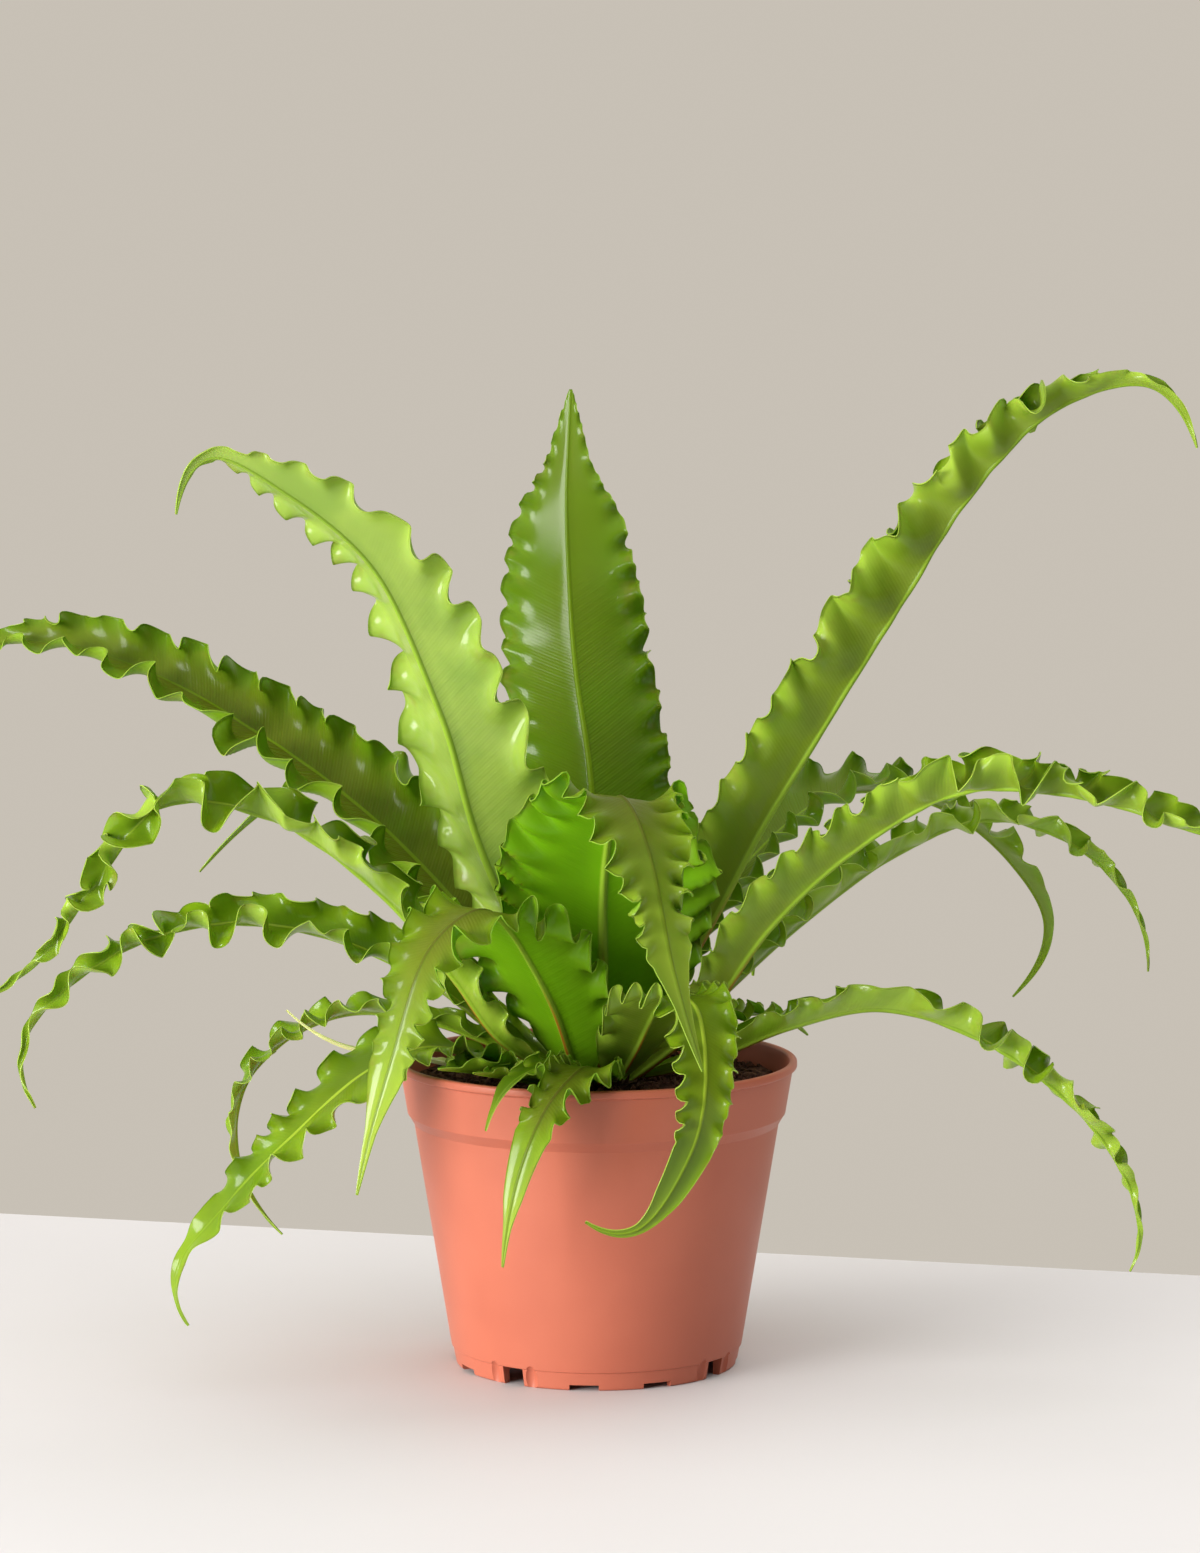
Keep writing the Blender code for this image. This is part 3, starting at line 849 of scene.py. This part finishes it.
def rim_faces(rows, columns):
    """Faces that join the two sheets all round their edge."""
    upper = np.arange(rows * columns).reshape(rows, columns)
    loop = np.concatenate([upper[0, :-1], upper[:-1, -1], upper[-1, :0:-1], upper[:0:-1, 0]])
    after = np.roll(loop, -1)
    under = rows * columns
    return np.stack([loop, after, after + under, loop + under], axis=-1)


def add_bake_map(mesh, rows, columns, sheet_count, rim_count):
    """A flat layout with room for every face: two strips for the sheets, a thin one for the rim."""
    lengthways, widthways = np.linspace(0.005, 0.995, rows), np.linspace(0.005, 0.475, columns)
    flat = np.stack(np.meshgrid(lengthways, widthways, indexing="ij"), axis=-1).reshape(-1, 2)
    flat = np.concatenate([flat, flat + (0.0, 0.49)])
    corners = np.empty(len(mesh.loops), np.int32)
    mesh.loops.foreach_get("vertex_index", corners)
    places = flat[corners]
    rim = places[8 * sheet_count:].reshape(rim_count, 4, 2)
    turn = np.linspace(0.005, 0.995, rim_count + 1)
    rim[:, :, 0] = np.stack([turn[:-1], turn[1:], turn[1:], turn[:-1]], axis=1)
    rim[:, :, 1] = (0.975, 0.975, 0.995, 0.995)
    layer = mesh.uv_layers.new(name="OFBake")
    layer.data.foreach_set("uv", places.ravel().astype(np.float32))


def frond_sheet(frond, random):
    """A grid of points on the blade's middle surface, the rib's height and the stored numbers."""
    first, second = np.array(frond.route[:2], float)
    sunk = tuple(first - SUNK * unit(second - first))
    route, distance = smooth_route((sunk,) + frond.route, STATION)
    place = np.clip((distance - SUNK) / (distance[-1] - SUNK), 0.0, 1.0)
    twist = corkscrew(frond, random, distance, place)
    along, sides, faces = blade_frames(route, frond.roll, twist)
    half = blade_widths(frond, place) / 2.0
    rib = np.minimum((1.0 + 0.013 * frond.width) * (1.1 - place) + 0.3, 0.40 * half)
    sway = wander(random, distance, 38.0) * np.sin(pi * place)
    route = route + sides * (0.025 * frond.width * sway)[:, None]

    left = ruffled_half(frond, random, distance, half, rib, -1.0)
    right = ruffled_half(frond, random, distance, half, rib, 1.0)
    whole = [np.concatenate([one[:, :0:-1], other], axis=1) for one, other in zip(left, right)]
    across, lift, slide, flat = whole
    grid = (route[:, None]
            + sides[:, None] * across[..., None]
            + faces[:, None] * lift[..., None]
            + along[:, None] * slide[..., None])
    swell = 0.5 + 0.5 * np.cos(pi * np.clip(np.abs(flat) / rib[:, None], 0.0, 1.0))
    same = np.ones_like(flat)
    numbers = {
        "across": flat,
        "along": same * distance[:, None],
        "edge": np.abs(flat) / half[:, None],
        "rib": swell,
        "tipward": same * place[:, None],
        "cast": same * frond.cast,
    }
    return grid, rib[:, None] * swell, numbers


def make_frond(frond, number, finishes):
    """One frond from its row of the table, with its own seed for the random numbers."""
    grid, rib_height, numbers = frond_sheet(frond, np.random.default_rng(100 + number))
    rows, columns = rib_height.shape
    normals = sheet_normals(grid)
    upper = grid + normals * (BLADE_THICKNESS / 2 + RIB_ABOVE * rib_height)[..., None]
    under = grid - normals * (BLADE_THICKNESS / 2 + RIB_BELOW * rib_height)[..., None]
    points = np.concatenate([upper.reshape(-1, 3), under.reshape(-1, 3)])
    numbers = {label: np.tile(values.ravel(), 2) for label, values in numbers.items()}
    upper_faces = grid_faces(rows, columns, 0, True)
    under_faces = grid_faces(rows, columns, rows * columns, False)
    edge_faces = rim_faces(rows, columns)
    all_faces = np.concatenate([upper_faces, under_faces, edge_faces])
    piece = mesh_object(frond.name, points, all_faces, **numbers)
    add_bake_map(piece.data, rows, columns, len(upper_faces), len(edge_faces))
    for material in finishes:
        piece.data.materials.append(material)
    slots = np.repeat([0, 1, 1], [len(upper_faces), len(under_faces), len(edge_faces)])
    piece.data.polygons.foreach_set("material_index", slots.astype(np.int32))
    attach(piece, "root")
    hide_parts("frond_" + frond.name)
    return piece


# %% [markdown]
# ## Leaf finishes
#
# A bird's nest frond has a thick waxy skin over soft green tissue. Light enters it and comes out
# greener, so the shader has some subsurface scattering as well as a gloss. Fine parallel veins
# run from the midrib towards the edge and forwards. They show where light grazes the gloss, so
# they are a bump and a very small change of tone, not painted lines. Young blades are
# yellow-green, older ones deeper, and the drooping ones have a brown-olive cast in their middle.
# Patches of the edge blush a faint bronze, and a midrib can be rusty or brown at its foot.

# %% Leaf finishes
VEIN_SPACING = 1.35


class Leaf(NamedTuple):
    """One face of a blade: its colours, how far two of them reach, and its surface."""
    body: tuple
    deep: tuple
    cast: tuple
    rib: tuple
    rib_foot: tuple
    foot_reach: float
    pale_end: float
    roughness: float
    vein_depth: float


WAX = {
    "Subsurface Weight": 0.15,
    "Subsurface Scale": 0.003,
    "Subsurface Radius": (0.5, 1.0, 0.10),
    "Coat Roughness": 0.13,
    "Coat IOR": 1.46,
    "Specular IOR Level": 0.08,
}


def leaf_finish(name, leaf):
    finish = Finish(name, WAX)
    across = abs(finish.attribute("across"))
    along = finish.attribute("along")
    edge = finish.attribute("edge")
    rib = finish.attribute("rib")
    tipward = finish.attribute("tipward")
    age = finish.attribute("cast")

    course = (along - SLANT * across) * (2.0 * pi / VEIN_SPACING)
    vein = 0.6 * course.sine() + 0.6 * (0.37 * course + 3.0 * finish.noise(14.0, 1.0)).sine()
    middle = 1.0 - edge * edge
    vein = vein * (1.0 - tipward.between(0.5, 0.85)) * middle
    clouds = finish.noise(30.0, 3.0)
    patches = finish.noise(48.0, 2.0)
    colour = finish.mix(clouds.between(0.36, 0.66), leaf.body, leaf.deep)
    colour = finish.mix((0.0 - age).between(0.0, 1.0), colour, YOUNG)
    old = age.between(0.0, 1.0) * (1.0 - 2.0 * leaf.pale_end * tipward.between(0.55, 0.85))
    aged = (patches + 0.4 * old).between(0.45, 0.75) * middle * old
    colour = finish.mix(aged, colour, leaf.cast)
    colour = finish.mix(edge.between(0.45, 0.95) * 0.5, colour, leaf.body)
    # Partly a real paler tip, partly painted light on tails that face the lamp and glint.
    colour = finish.mix(tipward.between(0.55, 0.95) * leaf.pale_end, colour, PALE_TIP_AND_PAINTED_LIGHT)
    blush = finish.noise(9.0, 2.0).between(0.52, 0.72) * edge.between(0.55, 0.95)
    colour = finish.mix(blush * 0.35, colour, BLUSH)
    colour = finish.mix((0.5 + 0.5 * vein) * 0.03, colour, leaf.deep)
    # Partly a real pale rim, partly a painted highlight where light shines through the thin free edge.
    colour = finish.mix(edge.between(0.96, 1.0) * 0.22, colour, PALE_RIM_AND_EDGE_HIGHLIGHT)
    # Painted shade: a darker line in the groove along each side of the midrib.
    colour = finish.mix(rib.between(0.02, 0.15) * 0.4, colour, leaf.deep)
    rib_line = rib.between(0.15, 0.5) * (0.85 - 0.6 * tipward.between(0.5, 0.8))
    colour = finish.mix(rib_line, colour, leaf.rib)
    foot = rib.between(0.75, 0.97) * (1.0 - tipward.between(0.5 * leaf.foot_reach, leaf.foot_reach))
    colour = finish.mix(foot * 0.9, colour, leaf.rib_foot)
    finish.feed("Base Color", colour)
    finish.feed("Roughness", leaf.roughness + 0.10 * clouds + 0.02 * vein)
    finish.feed("Coat Weight", 0.58 * (1.0 - 0.7 * rib.between(0.1, 0.5)) * (1.0 - 0.8 * old))
    height = vein * leaf.vein_depth * (1.0 - rib) + finish.noise(4.5, 1.0) * 0.8
    finish.bump(height, 0.05)
    return finish.material


# %% Leaf colours
MIDDLE = (0.150, 0.250, 0.006)
DEEP = (0.085, 0.172, 0.003)
SHADE = (0.075, 0.145, 0.003)
OLIVE = (0.094, 0.114, 0.008)
OLIVE_UNDER = (0.125, 0.175, 0.012)
YOUNG = (0.320, 0.400, 0.140)
UNDER = (0.260, 0.390, 0.035)
UNDER_DEEP = (0.150, 0.270, 0.010)
LUSH = (0.120, 0.290, 0.004)
STEM = (0.250, 0.400, 0.030)
LIGHT_RIB = (0.290, 0.400, 0.030)
PALE = (0.620, 0.650, 0.280)
PALE_DEEP = (0.520, 0.560, 0.200)
RUST = (0.330, 0.080, 0.008)
BROWN = (0.100, 0.050, 0.010)
BLUSH = (0.190, 0.130, 0.025)
DARK_RIB = (0.085, 0.085, 0.012)
# A paler tip colour, partly real and partly painted light on lit, glossy tails.
PALE_TIP_AND_PAINTED_LIGHT = (0.350, 0.450, 0.060)
# A pale rim colour that also paints the highlight on the thin free edge.
PALE_RIM_AND_EDGE_HIGHLIGHT = (0.380, 0.520, 0.090)

FROND_FINISHES = {
    "frond_bright": (
        leaf_finish("bright_upper", Leaf(MIDDLE, DEEP, OLIVE, LIGHT_RIB, RUST, 0.34, 0.15, 0.26, 0.4)),
        leaf_finish("bright_under", Leaf(UNDER, UNDER_DEEP, OLIVE_UNDER, STEM, RUST, 0.26, 0.15, 0.30, 0.5)),
    ),
    "frond_deep": (
        leaf_finish("deep_upper", Leaf(DEEP, SHADE, OLIVE, MIDDLE, MIDDLE, 0.20, 0.10, 0.24, 1.1)),
        leaf_finish("deep_under", Leaf(UNDER_DEEP, MIDDLE, OLIVE_UNDER, STEM, BROWN, 0.15, 0.10, 0.32, 0.5)),
    ),
    "frond_olive": (
        leaf_finish("olive_upper", Leaf(MIDDLE, DEEP, OLIVE, DARK_RIB, BROWN, 0.20, 0.50, 0.28, 0.7)),
        leaf_finish("olive_under", Leaf(LUSH, UNDER_DEEP, LUSH, STEM, RUST, 0.25, 0.40, 0.32, 0.5)),
    ),
    "frond_pale": (
        leaf_finish("pale_upper", Leaf(PALE, PALE_DEEP, OLIVE, PALE, BROWN, 0.10, 0.0, 0.45, 0.4)),
        leaf_finish("pale_under", Leaf(PALE, PALE_DEEP, OLIVE, PALE, BROWN, 0.10, 0.0, 0.50, 0.4)),
    ),
}

# %% Grow the fronds
triangles = 0
for number, frond in enumerate(FRONDS):
    piece = make_frond(frond, number, FROND_FINISHES[frond.slot])
    triangles += 2 * len(piece.data.polygons)
print("frond triangles:", triangles)

# %% [markdown]
# ## The crown
#
# All fronds spring from one short upright stem, a dome that is covered in papery brown scales.
# It shows only from above, between the stalks. A dome of stacked rings, closed like the plug of
# mix, gives the body, and a scatter of small pointed scales that lean outwards gives the shaggy
# outline.

# %% Crown
CROWN_RADIUS = 19.0
CROWN_RISE = 2.3
CROWN_SUNK = 2.0


def crown_scales(random, count):
    """Papery scales: thin pointed slips, each a closed wedge."""
    for _ in range(count):
        radius = CROWN_RADIUS * np.sqrt(random.uniform(0.0, 1.0))
        angle = random.uniform(0.0, 2.0 * pi)
        outward = np.array([cos(angle), sin(angle), 0.0])
        sideways = np.array([-sin(angle), cos(angle), 0.0])
        lean = random.uniform(0.3, 1.2)
        grow = outward * sin(lean) + np.array([0.0, 0.0, cos(lean)])
        height = MIX_TOP + 0.6 + 2.0 * (1.0 - radius / CROWN_RADIUS)
        foot = outward * radius + np.array([0.0, 0.0, height])
        length = random.uniform(3.0, 7.0)
        width = random.uniform(0.6, 1.3)
        thick = np.cross(sideways, grow) * 0.12
        outline = [foot - sideways * width, foot + sideways * width, foot + grow * length]
        points = np.concatenate([np.array(outline) + thick, np.array(outline) - thick])
        faces = [[0, 1, 2], [5, 4, 3], [0, 3, 4, 1], [1, 4, 5, 2], [2, 5, 3, 0]]
        yield points, faces, random.uniform(0.0, 1.0)


def crown_dome():
    """The crown's body, from its middle down to a straight skirt in the mix."""
    spokes, steps = 48, 8
    turn = np.linspace(0.0, 2.0 * pi, spokes, endpoint=False)
    base = MIX_TOP - CROWN_SUNK
    rings = []
    for step in range(1, steps + 1):
        angle = pi / 2 * step / steps
        bump = 0.25 * np.sin(turn * 7.0 + step * 2.0)
        height = MIX_TOP + 0.75 + CROWN_RISE * cos(angle) + bump
        rings.append(ring_of_points(CROWN_RADIUS * sin(angle), turn, height))
    rings.append(ring_of_points(CROWN_RADIUS, turn, np.full(spokes, base)))
    points = np.concatenate(rings + [[[0.0, 0.0, MIX_TOP + 3.1]], [[0.0, 0.0, base]]])
    return points, dome_faces(len(rings), spokes), 0.2


SCALE_DARK = (0.030, 0.017, 0.010)
SCALE_BROWN = (0.075, 0.042, 0.022)
SCALE_TAN = (0.160, 0.095, 0.045)


def crown_finish():
    finish = Finish("crown_scales", {"Roughness": 0.88, "Specular IOR Level": 0.3})
    tone = finish.attribute("tone")
    shade = finish.noise(2.0, 3.0)
    dark = finish.mix(shade, SCALE_DARK, SCALE_BROWN)
    finish.feed("Base Color", finish.mix(tone * 0.6, dark, SCALE_TAN))
    finish.bump(shade, 0.3)
    return finish.material


def make_crown():
    parts = [crown_dome(), *crown_scales(np.random.default_rng(5), 320)]
    points, faces, tones = joined(parts)
    crown = mesh_object("scaly_crown", points, faces, smooth=False, tone=tones)
    return finished(crown, ["crown"], crown_finish())


crown = make_crown()
print("crown faces:", len(crown.data.polygons))

# %% [markdown]
# ## Table and light
#
# The table is a wide pale slab. Its back edge runs at a slant behind the pot, so it meets the wall
# colour, which is the world's warm grey, on a falling line.
#
# Four soft lights do the work. The key stands low on the left and in front, so the blades that
# face left glow and the others fall away into shade. A strip beside it, lower still, lights the
# pot's side. A wide sheet overhead keeps the table bright and the shadows open, and a faint light
# at the back right lifts the cast shadow. Only the key shows in gloss, because wax with four
# reflections looks wet. The world is dark in front and on the right, where a room would be unlit,
# and that gives the blades their dark sides.

# %% Table
TABLE_THICKNESS = 25.0
TABLE_LEFT = -1500.0
TABLE_RIGHT = 6000.0
TABLE_FRONT = -6000.0
TABLE_BACK = 219.0
BACK_SLOPE = -132.0 / 509.0
OFF_WHITE = (0.662, 0.648, 0.654)
OFF_WHITE_DEEP = (0.638, 0.624, 0.630)


def table_finish():
    finish = Finish("table_paint", {"Roughness": 0.6, "Specular IOR Level": 0.3})
    cloud = finish.noise(120.0, 3.0)
    finish.feed("Base Color", finish.mix(cloud, OFF_WHITE, OFF_WHITE_DEEP))
    return finish.material


def make_table():
    outline = [(TABLE_LEFT, TABLE_FRONT), (TABLE_RIGHT, TABLE_FRONT)]
    outline += [(x, TABLE_BACK + BACK_SLOPE * x) for x in (TABLE_RIGHT, TABLE_LEFT)]
    points = [(x, y, height) for height in (0.0, -TABLE_THICKNESS) for x, y in outline]
    sides = [[i, i + 4, (i + 1) % 4 + 4, (i + 1) % 4] for i in range(4)]
    table = mesh_object("table", points, [[0, 1, 2, 3], [7, 6, 5, 4], *sides], smooth=False)
    table.data.materials.append(table_finish())
    return table


table = make_table()
print("table faces:", len(table.data.polygons))

# %% Light
WARM_WHITE = (1.0, 0.985, 0.97)
WARMER_WHITE = (1.0, 0.98, 0.95)
WHITE = (1.0, 1.0, 1.0)


def soft_light(name, place, aim, size, watts, colour, mirrored=False):
    """An area light at a place, turned to face a point. Gloss shows it only if mirrored."""
    data = bpy.data.lights.new(name, "AREA")
    data.shape = "RECTANGLE"
    data.size, data.size_y = size
    data.energy = watts
    data.color = colour
    light = bpy.data.objects.new(name, data)
    light.location = place
    direction = Vector(aim) - Vector(place)
    light.rotation_euler = direction.to_track_quat("-Z", "Y").to_euler()
    light.visible_glossy = mirrored
    scene.collection.objects.link(light)
    return light


LIGHTS = (
    soft_light("key_light", (-1.72, -1.44, 0.50), (0.0, 0.0, 0.18), (1.3, 0.9), 54.0, WARM_WHITE, True),
    soft_light("side_light", (-1.80, -0.80, 0.24), (0.0, 0.0, 0.08), (1.5, 0.40), 20.0, WARM_WHITE),
    soft_light("top_light", (0.1, -0.5, 1.85), (0.0, -0.1, 0.0), (3.3, 3.0), 46.0, WHITE),
    soft_light("back_light", (1.30, 1.50, 1.30), (0.1, 0.0, 0.0), (2.2, 1.6), 19.0, WARMER_WHITE),
)
print("lights:", {light.name: light.data.energy for light in LIGHTS})

# %% World
WALL_GREY = (0.575, 0.530, 0.465)
UNLIT_GREY = (0.105, 0.097, 0.084)
UNLIT_WAY = (0.7, -0.7, 0.0)


def studio_world():
    """Warm grey behind and on the left, darker in front and on the right, where nothing is lit."""
    world = bpy.data.worlds.new("warm_grey")
    world.use_nodes = True
    nodes = Nodes(world.node_tree)
    way = nodes.node("ShaderNodeTexCoord", output="Generated")
    product = {"operation": "DOT_PRODUCT"}
    unlit = nodes.node("ShaderNodeVectorMath", product, {0: way, 1: UNLIT_WAY}, output="Value")
    colour = nodes.mix(unlit.between(-0.3, 0.6), WALL_GREY, UNLIT_GREY)
    background = nodes.tree.nodes["Background"]
    nodes.tree.links.new(colour.socket, background.inputs["Color"])
    return world


scene.world = studio_world()
print("world:", scene.world.name)
